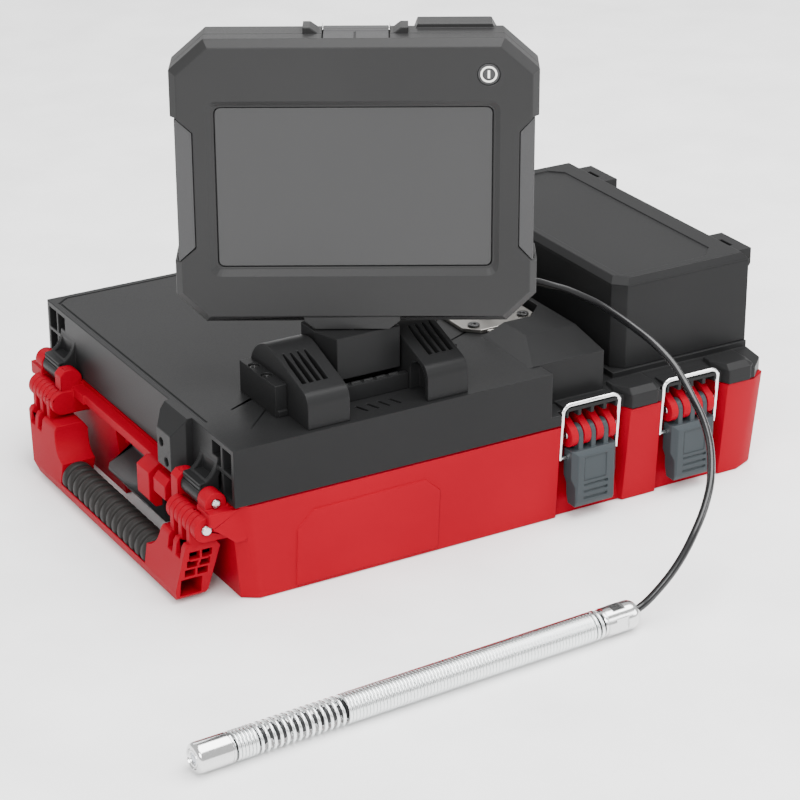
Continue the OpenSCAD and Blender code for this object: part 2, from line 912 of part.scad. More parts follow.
// Outline of the display housing, in width and height.
module mon_outline(i) {
    a = mon_x0 + i;
    b = mon_x1 - i;
    c = mon_z0 + i;
    d = mon_z1 - i;
    k = i * 0.4;
    polygon([
        [a, c + 16 - k], [a + 16 - k, c], [b - 16 + k, c], [b, c + 16 - k],
        [b, d - 17 + k], [b - 19 + k, d], [a + 19 - k, d], [a, d - 17 + k]
    ]);
}

module front_bezel() {
    color([0.34, 0.34, 0.34])
    in_display()
        difference() {
            union() {
                difference() {
                    hull() {
                        along_y(mon_y0 + 4, mon_split) mon_outline(0);
                        along_y(mon_y0, mon_y0 + 1) mon_outline(4);
                    }
                    along_y(mon_y0 + 3.5, mon_split + 1) mon_outline(6);
                }
                // tab over the swivel
                along_y(mon_y0 + 0.3, mon_split)
                    polygon([
                        [-26, mon_z0 + 5], [-26, mon_z0 + 1], [-20, 131.7], [21, 131.7], [27, mon_z0 + 1],
                        [27, mon_z0 + 5]
                    ]);
                // tube round the power button
                rod_y(mon_y0 + 2, mon_split - 2, button_x, button_z, button_r + 3);
            }
            // window
            along_y(mon_y0 - 1, mon_split) polygon(round_rect(win[0], win[1], win[2], win[3], 3.5));
            hull() {
                along_y(mon_y0 - 0.1, mon_y0)
                    polygon(round_rect(win[0] - 4.6, win[1] + 3.6, win[2] - 5, win[3] + 3.8, 6));
                along_y(mon_y0 + 1.5, mon_y0 + 1.6)
                    polygon(round_rect(win[0] - 1.2, win[1] + 1, win[2] - 1.2, win[3] + 1, 4));
            }
            // bore of the swivel stem
            translate([0, 0, 120]) cylinder(h = 34, r = stem_r);
            rod_y(mon_y0 - 1, mon_split + 1, button_x, button_z, button_r + 0.1);
            // seats of the side grips
            along_y(mon_y0 - 1, mon_y0 + 3) side_panels(0);
            side_steps();
            port_recess();
        }
}

// Outlines of the two side grips, with cut corners towards the screen.
module side_panels(i) {
    polygon([
        [mon_x0 - 1, 172 + i], [mon_x0 + 3, 172 + i], [mon_x0 + 12 - i, 180 + i],
        [mon_x0 + 12 - i, 246 - i], [mon_x0 + 3, 254 - i], [mon_x0 - 1, 254 - i]
    ]);
    polygon([
        [mon_x1 + 1, 172 + i], [mon_x1 - 3, 172 + i], [mon_x1 - 10.5 + i, 180 + i],
        [mon_x1 - 10.5 + i, 246 - i], [mon_x1 - 3, 254 - i], [mon_x1 + 1, 254 - i]
    ]);
}

// Shallow steps in the sides of the housing, beside the grips.
module side_steps() {
    block([mon_x0 - 1, mon_y0 - 1, 172], [mon_x0 + grip_inset, mon_y0 + mon_d + 1, 254]);
    block([mon_x1 - grip_inset, mon_y0 - 1, 172], [mon_x1 + 1, mon_y0 + mon_d + 1, 254]);
}

// Room for the port cover in the upper edge.
module port_recess() {
    block([-14, -4, mon_z1 - 9], [22, 20, mon_z1 + 5]);
}

module rear_shell() {
    color([0.3, 0.3, 0.3])
    in_display()
        difference() {
            union() {
                difference() {
                    hull() {
                        along_y(mon_split, mon_flat) mon_outline(0);
                        along_y(mon_y1 - 1, mon_y1) mon_outline(9);
                    }
                    hull() {
                        along_y(mon_split - 1, mon_flat - 2) mon_outline(4.5);
                        along_y(mon_y1 - 4, mon_y1 - 3) mon_outline(12);
                    }
                }
                // socket of the swivel stem
                translate([0, 0, mon_z0]) cylinder(h = 20, r = 13);
                along_y(mon_split, 14)
                    polygon([
                        [-26, mon_z0 + 5], [-26, mon_z0 + 1], [-20, 131.7], [21, 131.7], [27, mon_z0 + 1],
                        [27, mon_z0 + 5]
                    ]);
                // raised slab on the upper edge
                along_y(13, 27)
                    polygon([
                        [35, mon_z1 - 3], [37, mon_z1 + 2.4], [77, mon_z1 + 2.4], [80, mon_z1 - 3]
                    ]);
                // ears beside the port cover
                along_y(mon_split, 17)
                    polygon([
                        [-24.4, mon_z1 - 8], [-24.4, mon_z1 + 3.2], [-20.5, mon_z1 + 3.2],
                        [-14.6, mon_z1 - 1], [-14.6, mon_z1 - 8]
                    ]);
                along_y(mon_split, 17)
                    polygon([
                        [32, mon_z1 - 8], [32, mon_z1 + 3.2], [28, mon_z1 + 3.2], [22.6, mon_z1 - 1],
                        [22.6, mon_z1 - 8]
                    ]);
            }
            side_steps();
            block([-30, -20, mon_z0 - 9], [30, mon_split, 160]);
            translate([0, 0, 120]) cylinder(h = 34, r = stem_r);
            port_recess();
            rod_x(-19, 27, port_pin_y, port_pin_z, 1);
        }
}

module display_panel() {
    color([0.08, 0.08, 0.09])
    in_display() block([win[0] - 4, -3.3, win[2] - 4], [win[1] + 4, mon_split, win[3] + 4]);
}

module screen_glass() {
    color([0.4, 0.4, 0.4])
    in_display()
        along_y(mon_y0 + 2.1, mon_y0 + 3.5)
            polygon(round_rect(win[0] + 0.4, win[1] - 0.4, win[2] + 0.4, win[3] - 0.4, 3.2));
}

module main_board() {
    color([0.05, 0.3, 0.15])
    in_display()
        union() {
            block([-60, 6, 170], [70, 7.6, 262]);
            block([-50, 7.6, 190], [-20, 11, 220]);
            block([10, 7.6, 180], [46, 10, 206]);
            for (x = [0, 20, 40]) translate([x, 7.6, 240]) rotate([-90, 0, 0]) cylinder(h = 7, r = 5);
        }
}

module swivel_stem() {
    color("silver")
    translate([tilt_x, swivel_y, 0])
        difference() {
            translate([0, 0, 116.5]) cylinder(h = 154 - 116.5, r = stem_r);
            translate([0, 0, 100]) cylinder(h = 60, r = 3.5);
        }
}

module side_grips() {
    color([0.16, 0.16, 0.16])
    in_display()
        along_y(mon_y0 + 0.7, mon_y0 + 3)
            intersection() {
                side_panels(0.3);
                translate([mon_x0 + grip_inset, 0]) square([mon_w - 2 * grip_inset, big]);
            }
}

// Sockets under the port cover.
module port_block() {
    color([0.1, 0.1, 0.1])
    in_display()
        difference() {
            block([-13.5, -3.5, mon_z1 - 9], [21.5, 11.5, mon_z1 - 5]);
            block([-11, 1, mon_z1 - 7.5], [2, 6.2, mon_z1]);
            block([6, 0.5, mon_z1 - 7.5], [20, 6, mon_z1]);
        }
}

// Screws that hold the two halves of the housing together.
module bezel_screws() {
    color([0.2, 0.2, 0.2])
    in_display()
        for (x = [mon_x0 + 13, mon_x1 - 13], z = [160, 268])
            rod_y(mon_split - 2, mon_split + 9, x, z, 1.5);
}

module port_pin() {
    color("silver") in_display() rod_x(-18.5, 26.5, port_pin_y, port_pin_z, 1);
}

module port_cover() {
    color([0.14, 0.14, 0.14])
    in_display()
        difference() {
            union() {
                block([-13.6, -3.6, mon_z1 - 3.6], [21.6, 13.5, mon_z1 - 1.8]);
                block([-13.6, -3.6, mon_z1 - 3.6], [21.6, 12.5, mon_z1 - 0.6]);
                rod_x(-13.6, 21.6, port_pin_y, port_pin_z, 2.2);
            }
            rod_x(-20, 28, port_pin_y, port_pin_z, 1 + run);
            block([3, -2.5, mon_z1 - 1.4], [3.8, 10, mon_z1]);
        }
}

module power_button() {
    color([0.2, 0.2, 0.2])
    in_display()
        difference() {
            rod_y(mon_y0 + 0.4, 0.8, button_x, button_z, button_r);
            difference() {
                rod_y(mon_y0 - 1, mon_y0 + 0.8, button_x, button_z, 4.2);
                rod_y(mon_y0 - 1, mon_y0 + 1, button_x, button_z, 3.4);
            }
        }
}

// ---------- carry handle ----------

// Outline of the handle seen from its end of the case: two arms that lean in, and the bar between.
module handle_outline() {
    polygon(concat(
        [
            [-111.5, 38.5], [-112.2, 36], [-105.5, 4], [-102, 1.5], [86, 1.5], [90, 5],
            [104.2, 36], [103.5, 38.5]
        ],
        [for (t = [0:15:90]) [47 + 18 * cos(t), 38.5 - 18 * sin(t)]],
        [for (t = [90:15:180]) [-63 + 18 * cos(t), 38.5 - 18 * sin(t)]]
    ));
}

// Row of two pockets in the outer side of an arm; d is the depth, towards the middle of the handle.
module arm_pocket(y, z, w, h, d) {
    translate([-198.6 - 0.16 * (35 - z), y + min(d, 0), z]) cube([w, abs(d), h]);
}

module carry_handle() {
    color("crimson")
    difference() {
        union() {
            handle_sides()
                for (f = handle_fingers) {
                    rod_y(-f[1], -f[0], handle_x, handle_pin_z, knuckle_r);
                    block([handle_x - knuckle_r, -f[1], 26], [handle_x + 4, -f[0], handle_pin_z]);
                }
            intersection() {
                along_x(-210, -178) handle_outline();
                along_y(-120, 120)
                    polygon([
                        [-201, 38.5], [-202.5, 36], [-206.5, 8], [-204.5, 1], [-190, 1],
                        [-186.5, 5], [-181, 34], [-184, 38.5]
                    ]);
            }
        }
        // room for the grip, with the bar left below it
        rod_y(grip_y - grip_l / 2, grip_y + grip_l / 2, grip_x, grip_z, grip_d / 2 + 0.02);
        block([grip_x - 4, grip_y - grip_l / 2, 0], [-180, grip_y + grip_l / 2, 40]);
        block([-210, grip_y - grip_l / 2, 9], [-180, grip_y + grip_l / 2, 40]);
        handle_sides() {
            rod_y(-130, -80, handle_x, handle_pin_z, handle_pin_r + run);
            // slots that carry the gaps between the fingers down into the arm
            for (y = [-107, -97]) block([-210, y, 29], [-178, y + 5.5, 39.5]);
        }
        for (m = [[-112.5, 1], [104.5, -1]]) {
            for (j = [0:2]) {
                arm_pocket(m[0], 17.5 + 5.8 * j, 6, 4.3, 13 * m[1]);
                translate([7.6, 0, 0]) arm_pocket(m[0], 17.5 + 5.8 * j, 6, 4.3, 13 * m[1]);
            }
            arm_pocket(m[0], 5, 12.6, 10.6, 22 * m[1]);
        }
    }
    color("crimson") rod_y(grip_y - grip_l / 2 - 0.1, grip_y + grip_l / 2 + 0.1, grip_x, grip_z, 6);
}

module handle_grip() {
    color([0.2, 0.19, 0.18])
    difference() {
        union() {
            rod_y(grip_y - grip_l / 2, grip_y + grip_l / 2, grip_x, grip_z, grip_d / 2 - 1.2);
            for (i = [0:14])
                translate([0, grip_y - grip_l / 2 + 7.8 * i, 0]) rod_y(1, 6, grip_x, grip_z, grip_d / 2);
        }
        rod_y(-grip_l, grip_l, grip_x, grip_z, 6);
    }
}

// ---------- latches ----------

module latch_lever(c) {
    color([0.39, 0.42, 0.44])
    difference() {
        union() {
            intersection() {
                along_x(c - latch_w / 2, c + latch_w / 2)
                    polygon([
                        [-131, 41], [-130.6, 12], [-129, 8], [-121.5, 8], [-119.8, 14], [-119.3, 38],
                        [-120, lever_top], [-128.5, lever_top]
                    ]);
                // chamfers down the sides
                linear_extrude(big)
                    polygon([
                        [c - latch_w / 2, -118], [c - latch_w / 2, -127.6], [c - latch_w / 2 + 3.4, -131.2],
                        [c + latch_w / 2 - 3.4, -131.2], [c + latch_w / 2, -127.6], [c + latch_w / 2, -118]
                    ]);
                // narrower at the foot
                along_y(-132, -118)
                    polygon([
                        [c - latch_w / 2, big], [c - latch_w / 2, 26], [c - latch_w / 2 + 1.8, 21],
                        [c - latch_w / 2 + 2.2, 0], [c + latch_w / 2 - 2.2, 0],
                        [c + latch_w / 2 - 1.8, 21], [c + latch_w / 2, 26], [c + latch_w / 2, big]
                    ]);
            }
            for (i = [0:2]) {
                x = c + (red_fingers[i] + red_finger_w + red_fingers[i + 1]) / 2 - lever_finger_w / 2;
                along_x(x, x + lever_finger_w)
                    union() {
                        translate([-pivot_y, pivot_z]) circle(r = 6.3);
                        translate([-pivot_y - 6.3, lever_top - 3]) square([10, pivot_z - lever_top + 3]);
                    }
            }
        }
        rod_x(c - 20, c + 20, -pivot_y, pivot_z, latch_pin_r + run);
        rod_x(c - 20, c + 20, -bail_y, bail_z, wire_d / 2 + run);
        // grooves low on the front, with the shallow panel above them
        for (i = [0:2]) {
            block([c - 8, -132, 13 + 4.2 * i], [c + 7.5, -130.1, 14 + 4.2 * i]);
            rod_y(-132, -129.4, c + 7.5, 13.5 + 4.2 * i, 0.9);
        }
        block([c - 8, -132, 25], [c + 7, -130.4, 39.5]);
    }
}

module latch_bail(c) {
    color("silver") {
        for (s = [-1, 1]) {
            hull() {
                translate([c + s * bail_half, -bail_y, bail_z]) sphere(d = wire_d, $fn = 16);
                translate([c + s * bail_half, -bail_top_y, bail_top_z]) sphere(d = wire_d, $fn = 16);
            }
            rod_x(c + (s < 0 ? -bail_half : 10), c + (s < 0 ? -10 : bail_half), -bail_y, bail_z, wire_d / 2);
        }
        rod_x(c - bail_half, c + bail_half, -bail_top_y, bail_top_z, wire_d / 2);
    }
}

module front_lever_1() { latch_lever(latch_1_x); }
module front_lever_2() { latch_lever(latch_2_x); }
module rear_lever_1() { mirror([0, 1, 0]) latch_lever(latch_1_x); }
module rear_lever_2() { mirror([0, 1, 0]) latch_lever(latch_2_x); }
module front_bail_1() { latch_bail(latch_1_x); }
module front_bail_2() { latch_bail(latch_2_x); }
module rear_bail_1() { mirror([0, 1, 0]) latch_bail(latch_1_x); }
module rear_bail_2() { mirror([0, 1, 0]) latch_bail(latch_2_x); }

// ---------- probe ----------

// Places a shape drawn along X from the nose.
module in_probe() {
    translate(probe_at) rotate([0, 0, probe_turn]) children();
}

// A solid of revolution about the probe's axis.
module turned(points) {
    rotate([90, 0, 90]) rotate_extrude() polygon(points);
}

module probe_nose() {
    color("silver")
    in_probe()
        turned([
            [5.2, 1.2], [5.2, 0.4], [6.2, 0], [7.2, 0.6], [probe_r, 2.2], [probe_r, nose_l],
            [6.2, nose_l], [6.2, 1.2]
        ]);
}

module lens_window() {
    color([0.5, 0.6, 0.7])
    in_probe()
        turned([[0, 0.8], [5.2, 0.8], [5.2, 1.2], [6.2, 1.2], [6.2, 3], [0, 3]]);
}

module led_ring() {
    color("white") in_probe() turned([[3, 3], [6, 3], [6, 4.6], [3, 4.6]]);
}

module camera_module() {
    color([0.1, 0.1, 0.1])
    in_probe()
        turned([[0, 3], [2.9, 3], [2.9, 4.7], [5.9, 4.7], [5.9, nose_l], [0, nose_l]]);
}

// Springs are stood in for by sleeves of their own size.
module front_spring() {
    color([0.75, 0.75, 0.75])
    in_probe() turned([[6.6, nose_l], [probe_r - 0.1, nose_l], [probe_r - 0.1, open_l], [6.6, open_l]]);
}

module rear_spring() {
    color([0.75, 0.75, 0.75])
    in_probe() turned([[6.6, open_l], [probe_r - 0.1, open_l], [probe_r - 0.1, rear_l], [6.6, rear_l]]);
}

// Jointed core inside the springs.
module probe_core() {
    color([0.15, 0.15, 0.15])
    in_probe()
        union() {
            turned([[0, nose_l], [2.5, nose_l], [2.5, rear_l], [0, rear_l]]);
            for (i = [0:15]) translate([32 + 13.6 * i, 0, 0]) rotate([0, 90, 0]) cylinder(h = 8, r = 4.4);
        }
}

module rear_connector() {
    color("silver")
    in_probe()
        turned(concat(
            [[0, rear_l], [probe_r, rear_l], [probe_r, probe_l - 7]],
            [for (a = [15:15:75]) [probe_r * cos(a), probe_l - 7 + 7 * sin(a)]],
            [[2, probe_l], [0, probe_l]]
        ));
}

// ---------- push cable ----------

// Direction of a route at its point i.
function way(p, i) =
    let (d = p[min(i + 1, len(p) - 1)] - p[max(i - 1, 0)]) d / norm(d);

// A tube swept along a route: one ring of points for each point of the route.
module tube(p, r, sides) {
    n = len(p);
    ring = [for (i = [0:n - 1])
        let (
            t = way(p, i),
            u = cross(t, [0.31, 0.95, 0.05]),
            v = u / norm(u),
            w = cross(t, v)
        )
        for (k = [0:sides - 1]) p[i] + r * (cos(360 * k / sides) * v + sin(360 * k / sides) * w)];
    skin = [for (i = [0:n - 2], k = [0:sides - 1])
        let (a = i * sides + k, b = i * sides + (k + 1) % sides)
        [a, b, b + sides, a + sides]];
    caps = [
        [for (k = [sides - 1:-1:0]) k],
        [for (k = [0:sides - 1]) (n - 1) * sides + k]
    ];
    polyhedron(ring, concat(skin, caps));
}

module push_cable() {
    color([0.08, 0.08, 0.08]) tube(cable_route, cable_d / 2, 10);
}

lower_case();
lid_hinge_pins();
handle_pins();
latch_pins();
cable_tub();
stored_cable();
stack_release();
release_pin();
top_cover();
lid_gasket();
left_cheek();
right_cheek();
cross_bar();
mount_feet();
mount_screws();
guide_plate();
plate_screws();
cable_bush();
tilt_shaft();
tilt_washers();
battery_box();
battery_pack();
battery_terminals();
power_board();
door_pins();
battery_door();
tilt_head();
front_bezel();
rear_shell();
display_panel();
screen_glass();
main_board();
swivel_stem();
side_grips();
port_block();
bezel_screws();
port_pin();
port_cover();
power_button();
carry_handle();
handle_grip();
front_lever_1();
front_lever_2();
rear_lever_1();
rear_lever_2();
front_bail_1();
front_bail_2();
rear_bail_1();
rear_bail_2();
probe_nose();
lens_window();
led_ring();
camera_module();
front_spring();
rear_spring();
probe_core();
rear_connector();
push_cable();
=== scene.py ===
import json
import math

import bpy
from mathutils import Matrix, Vector


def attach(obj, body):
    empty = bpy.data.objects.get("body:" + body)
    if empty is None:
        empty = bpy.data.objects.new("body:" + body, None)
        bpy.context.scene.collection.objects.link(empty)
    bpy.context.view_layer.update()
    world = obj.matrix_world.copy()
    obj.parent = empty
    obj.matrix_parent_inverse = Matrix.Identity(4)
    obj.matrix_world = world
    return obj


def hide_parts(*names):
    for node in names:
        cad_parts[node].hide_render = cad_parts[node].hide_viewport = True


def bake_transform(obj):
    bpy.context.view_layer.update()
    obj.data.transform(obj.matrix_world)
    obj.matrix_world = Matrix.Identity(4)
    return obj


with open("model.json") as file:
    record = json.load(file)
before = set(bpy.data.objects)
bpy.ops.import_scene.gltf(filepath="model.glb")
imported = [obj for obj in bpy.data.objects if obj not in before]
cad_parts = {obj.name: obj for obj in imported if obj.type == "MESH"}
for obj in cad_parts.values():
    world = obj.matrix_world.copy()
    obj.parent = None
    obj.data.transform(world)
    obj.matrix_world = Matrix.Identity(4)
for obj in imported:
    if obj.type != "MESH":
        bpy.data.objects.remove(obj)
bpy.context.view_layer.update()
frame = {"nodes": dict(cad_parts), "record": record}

NODES = frame["nodes"]
MM = 0.001

# ---------------------------------------------------------------- sizes, in millimetres

PROBE_AT = Vector((-273.4, -264.0, 8.15))
PROBE_TURN = math.radians(2.86)
PROBE_R = 8.15
NOSE_L = 21.0
CLOSED_L = 34.0
OPEN_L = 86.0
REAR_L = 247.5
PROBE_L = 272.0
CABLE_D = 4.4

DISPLAY_AT = Vector((-80.5, -80.0, 0.0))
DISPLAY_TURN = math.radians(-29.9)
BUTTON = (74.6, 278.0)
BUTTON_FACE_Y = -9.3 + 0.4
MARK_PROUD = 0.12

GRIP_AT = Vector((-196.5, -8.0, 12.0))
GRIP_L = 116.0
GRIP_R = 9.9

LATCH_X = {"1": 52.0, "2": 122.0}
WIRE_R = 1.35
BAIL_HALF = 19.3
BAIL_LOW = (-121.6, 38.0)
BAIL_TOP = (-123.6, 71.7)
BAIL_BEND_R = 5.0

# Centre line of the free push cable, from the plate to the probe; part.scad has the same points.
CABLE_ROUTE = [
    (36.5, -30, 96), (36.5, -30, 101), (37.5, -31, 107), (40.5, -34, 113), (46, -39.5, 117),
    (53, -47, 119), (58.5, -56, 120), (61.5, -66, 120.5), (64, -78, 121.5), (66, -90, 121.5),
    (69, -103, 120.5), (72.5, -117, 117.5), (76, -131, 113.5), (79.5, -145, 108.5),
    (82.5, -158, 101.5), (83.5, -168, 94.5), (82.5, -180, 87), (80, -192, 81.5), (76, -203, 77),
    (71, -213, 73), (64, -224, 67.5), (56, -234, 61.5), (46.5, -242, 53), (37.5, -247, 44.5),
    (29, -250, 35.5), (20.5, -251.5, 27), (12, -251.5, 19), (4, -251, 12.5), (-3, -250.7, 9),
]


# ---------------------------------------------------------------- camera, lights and floor

def add_camera():
    """A long lens from the front left, level but for a quarter of a degree."""
    forward = Vector((0.4548, 0.7900, -0.4110)).normalized()
    right = forward.cross(Vector((0, 0, 1))).normalized()
    up = right.cross(forward)
    roll = math.radians(-0.24)
    right, up = (
        right * math.cos(roll) + up * math.sin(roll),
        up * math.cos(roll) - right * math.sin(roll),
    )
    data = bpy.data.cameras.new("camera")
    data.sensor_width = 36
    data.lens = 121.0
    data.clip_end = 20
    camera = bpy.data.objects.new("camera", data)
    camera.matrix_world = Matrix.Translation((-0.7458, -1.2892, 0.7069)) @ Matrix(
        (right, up, -forward)
    ).transposed().to_4x4()
    bpy.context.collection.objects.link(camera)
    bpy.context.scene.camera = camera


def add_area(name, place, target, size, power):
    data = bpy.data.lights.new(name, "AREA")
    data.shape = "RECTANGLE"
    data.size, data.size_y = size
    data.energy = power
    light = bpy.data.objects.new(name, data)
    aim = (Vector(target) - Vector(place)).to_track_quat("-Z", "Y")
    light.matrix_world = Matrix.Translation(place) @ aim.to_matrix().to_4x4()
    bpy.context.collection.objects.link(light)


def add_studio():
    world = bpy.data.worlds.new("studio")
    bpy.context.scene.world = world
    world.use_nodes = True
    world.node_tree.nodes["Background"].inputs["Color"].default_value = (1, 1, 1, 1)
    world.node_tree.nodes["Background"].inputs["Strength"].default_value = 0.9
    add_area("overhead", (0.35, -0.45, 1.9), (0.0, -0.05, 0.0), (2.4, 1.6), 108)
    add_area("key", (-1.5, -1.6, 1.3), (-0.05, -0.05, 0.08), (1.2, 1.0), 44)
    add_area("fill", (1.6, -1.5, 0.9), (0.0, 0.0, 0.1), (1.0, 1.0), 20)
    add_area("rim", (0.1, 1.7, 1.3), (0.0, 0.0, 0.1), (1.8, 0.5), 7)

    data = bpy.data.meshes.new("floor")
    half, down = 6.0, -0.0004
    corners = [(-half, -half, down), (half, -half, down), (half, half, down), (-half, half, down)]
    data.from_pydata(corners, [], [(0, 1, 2, 3)])
    floor = bpy.data.objects.new("floor", data)
    bpy.context.collection.objects.link(floor)
    data.materials.append(moulded("floor_paint", (0.93, 0.93, 0.93), 0.6, grain=200, depth=0.00002))


# ---------------------------------------------------------------- materials

def new_material(name):
    material = bpy.data.materials.new(name)
    material.use_nodes = True
    tree = material.node_tree
    return material, tree, tree.nodes["Principled BSDF"]


def place_noise(tree, scale, detail=3.0, stretch=None):
    """Noise on the object's own coordinates, in cycles per metre."""
    coords = tree.nodes.new("ShaderNodeTexCoord")
    out = coords.outputs["Object"]
    if stretch:
        mapping = tree.nodes.new("ShaderNodeMapping")
        mapping.inputs["Scale"].default_value = stretch
        tree.links.new(out, mapping.inputs["Vector"])
        out = mapping.outputs["Vector"]
    noise = tree.nodes.new("ShaderNodeTexNoise")
    noise.inputs["Scale"].default_value = scale
    noise.inputs["Detail"].default_value = detail
    tree.links.new(out, noise.inputs["Vector"])
    return noise.outputs["Fac"]


def ranged(tree, value, low, high, from_low=0.3, from_high=0.7):
    node = tree.nodes.new("ShaderNodeMapRange")
    node.inputs["From Min"].default_value = from_low
    node.inputs["From Max"].default_value = from_high
    node.inputs["To Min"].default_value = low
    node.inputs["To Max"].default_value = high
    tree.links.new(value, node.inputs["Value"])
    return node.outputs["Result"]


def two_tone(tree, value, colour, spread):
    """A colour that drifts a little lighter and darker."""
    mix = tree.nodes.new("ShaderNodeMix")
    mix.data_type = "RGBA"
    mix.inputs["A"].default_value = (*[c * (1 - spread) for c in colour], 1)
    mix.inputs["B"].default_value = (*[min(1, c * (1 + spread)) for c in colour], 1)
    tree.links.new(value, mix.inputs["Factor"])
    return mix.outputs["Result"]


def bumped(tree, shader, height, distance, strength=1.0):
    bump = tree.nodes.new("ShaderNodeBump")
    bump.inputs["Strength"].default_value = strength
    bump.inputs["Distance"].default_value = distance
    tree.links.new(height, bump.inputs["Height"])
    tree.links.new(bump.outputs["Normal"], shader.inputs["Normal"])


def moulded(name, colour, roughness, grain=1500, depth=0.00003, spread=0.05, specular=0.5):
    """Moulded plastic or rubber: a fine texture from the tool, and a faint drift of shade."""
    material, tree, shader = new_material(name)
    drift = place_noise(tree, 14)
    shade = two_tone(tree, ranged(tree, drift, 0, 1), colour, spread)
    tree.links.new(shade, shader.inputs["Base Color"])
    fine = place_noise(tree, grain, 4)
    tree.links.new(ranged(tree, fine, roughness - 0.05, roughness + 0.05), shader.inputs["Roughness"])
    bumped(tree, shader, fine, depth)
    shader.inputs["Specular IOR Level"].default_value = specular
    return material


def metal(name, colour, roughness, stretch=(1, 1, 1), scale=900, depth=0.000004, spread=0.04):
    """Bare metal with fine marks drawn out along one direction."""
    material, tree, shader = new_material(name)
    marks = place_noise(tree, scale, 5, stretch)
    shade = two_tone(tree, ranged(tree, marks, 0, 1), colour, spread)
    tree.links.new(shade, shader.inputs["Base Color"])
    tree.links.new(ranged(tree, marks, roughness * 0.7, roughness * 1.3), shader.inputs["Roughness"])
    bumped(tree, shader, marks, depth)
    shader.inputs["Metallic"].default_value = 1.0
    return material


MATERIALS = {
    "red_shell": moulded("red_shell", (0.262, 0.0002, 0.009), 0.42, depth=0.00001, specular=0.04),
    "cover_plastic": moulded("cover_plastic", (0.0122, 0.0123, 0.0126), 0.36, specular=0.09),
    "display_plastic": moulded("display_plastic", (0.0195, 0.0195, 0.0197), 0.4, specular=0.18),
    "latch_plastic": moulded(
        "latch_plastic", (0.029, 0.0355, 0.0395), 0.38, depth=0.00001, specular=0.15,
    ),
    "dark_lever": moulded("dark_lever", (0.017, 0.018, 0.019), 0.4),
    "inner_plastic": moulded("inner_plastic", (0.02, 0.02, 0.022), 0.5),
    "pack_plastic": moulded("pack_plastic", (0.016, 0.016, 0.017), 0.45),
    "pin_steel": metal("pin_steel", (0.62, 0.62, 0.62), 0.3),
    "bail_wire": metal("bail_wire", (0.78, 0.78, 0.78), 0.16),
    "black_screws": moulded("black_screws", (0.012, 0.012, 0.012), 0.3),
    "plate_metal": metal("plate_metal", (0.27, 0.26, 0.245), 0.42, stretch=(1, 12, 1), spread=0.08),
    "probe_steel": metal("probe_steel", (0.72, 0.72, 0.72), 0.14),
    "spring_steel": metal("spring_steel", (0.82, 0.84, 0.84), 0.2),
    "seal_rubber": moulded("seal_rubber", (0.03, 0.03, 0.031), 0.6),
    "grip_rubber": moulded("grip_rubber", (0.0135, 0.0123, 0.0115), 0.5, specular=0.2),
    "button_rubber": moulded("button_rubber", (0.02, 0.02, 0.021), 0.5),
    "cable_jacket": moulded("cable_jacket", (0.006, 0.006, 0.0065), 0.22, depth=0.000005),
    "circuit_board": moulded("circuit_board", (0.01, 0.09, 0.035), 0.35),
    "screen_glass": moulded(
        "screen_glass", (0.0175, 0.0175, 0.018), 0.4, grain=3000, depth=0.000004, spread=0.03,
    ),
    "led_white": moulded("led_white", (0.85, 0.85, 0.8), 0.3),
    "lens_glass": metal("lens_glass", (0.5, 0.52, 0.55), 0.08),
}


# ---------------------------------------------------------------- mesh helpers

def link_mesh(name, verts, faces, material, body, replaced=(), smooth=35):
    """A new piece from vertices in millimetres."""
    data = bpy.data.meshes.new(name)
    data.from_pydata([Vector(v) * MM for v in verts], [], faces)
    data.validate()
    data.update()
    data.shade_smooth()
    data.set_sharp_from_angle(angle=math.radians(smooth))
    data.materials.append(MATERIALS[material])
    piece = bpy.data.objects.new(name, data)
    bpy.context.collection.objects.link(piece)
    if body:
        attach(piece, body)
    if replaced:
        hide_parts(*replaced)
    return piece


def revolve(profile, sides=64):
    """Vertices and faces of a profile of (along, radius) points turned about X."""
    verts, faces = [], []
    for along, radius in profile:
        for k in range(sides):
            a = math.tau * k / sides
            verts.append((along, radius * math.cos(a), radius * math.sin(a)))
    for i in range(len(profile) - 1):
        for k in range(sides):
            n = (k + 1) % sides
            a, b = i * sides, (i + 1) * sides
            faces.append((a + k, b + k, b + n, a + n))
    faces.append(tuple(reversed(range(sides))))
    faces.append(tuple(range((len(profile) - 1) * sides, len(profile) * sides)))
    return verts, faces


def sweep(path, radius, sides=16):
    """Vertices and faces of a round tube along a path, with a frame carried from point to point."""
    points = [Vector(p) for p in path]
    verts, faces = [], []
    side = None
    for i, p in enumerate(points):
        ahead = points[min(i + 1, len(points) - 1)] - points[max(i - 1, 0)]
        along = ahead.normalized()
        if side is None:
            side = along.orthogonal().normalized()
        side = (side - along * side.dot(along)).normalized()
        other = along.cross(side)
        for k in range(sides):
            a = math.tau * k / sides
            verts.append(p + radius * (math.cos(a) * side + math.sin(a) * other))
    for i in range(len(points) - 1):
        for k in range(sides):
            n = (k + 1) % sides
            a, b = i * sides, (i + 1) * sides
            faces.append((a + k, a + n, b + n, b + k))
    faces.append(tuple(reversed(range(sides))))
    faces.append(tuple(range((len(points) - 1) * sides, len(points) * sides)))
    return verts, faces


def smooth_path(points, steps):
    """A curve through every point, with steps points between each pair."""
    p = [Vector(q) for q in points]
    p = [2 * p[0] - p[1]] + p + [2 * p[-1] - p[-2]]
    out = []
    for i in range(1, len(p) - 2):
        for k in range(steps):
            t = k / steps
            out.append(
                0.5 * (2 * p[i] + (p[i + 1] - p[i - 1]) * t
                       + (2 * p[i - 1] - 5 * p[i] + 4 * p[i + 1] - p[i + 2]) * t * t
                       + (3 * p[i] - p[i - 1] - 3 * p[i + 1] + p[i + 2]) * t ** 3)
            )
    out.append(p[-2])
    return out


# ---------------------------------------------------------------- CAD nodes that stay

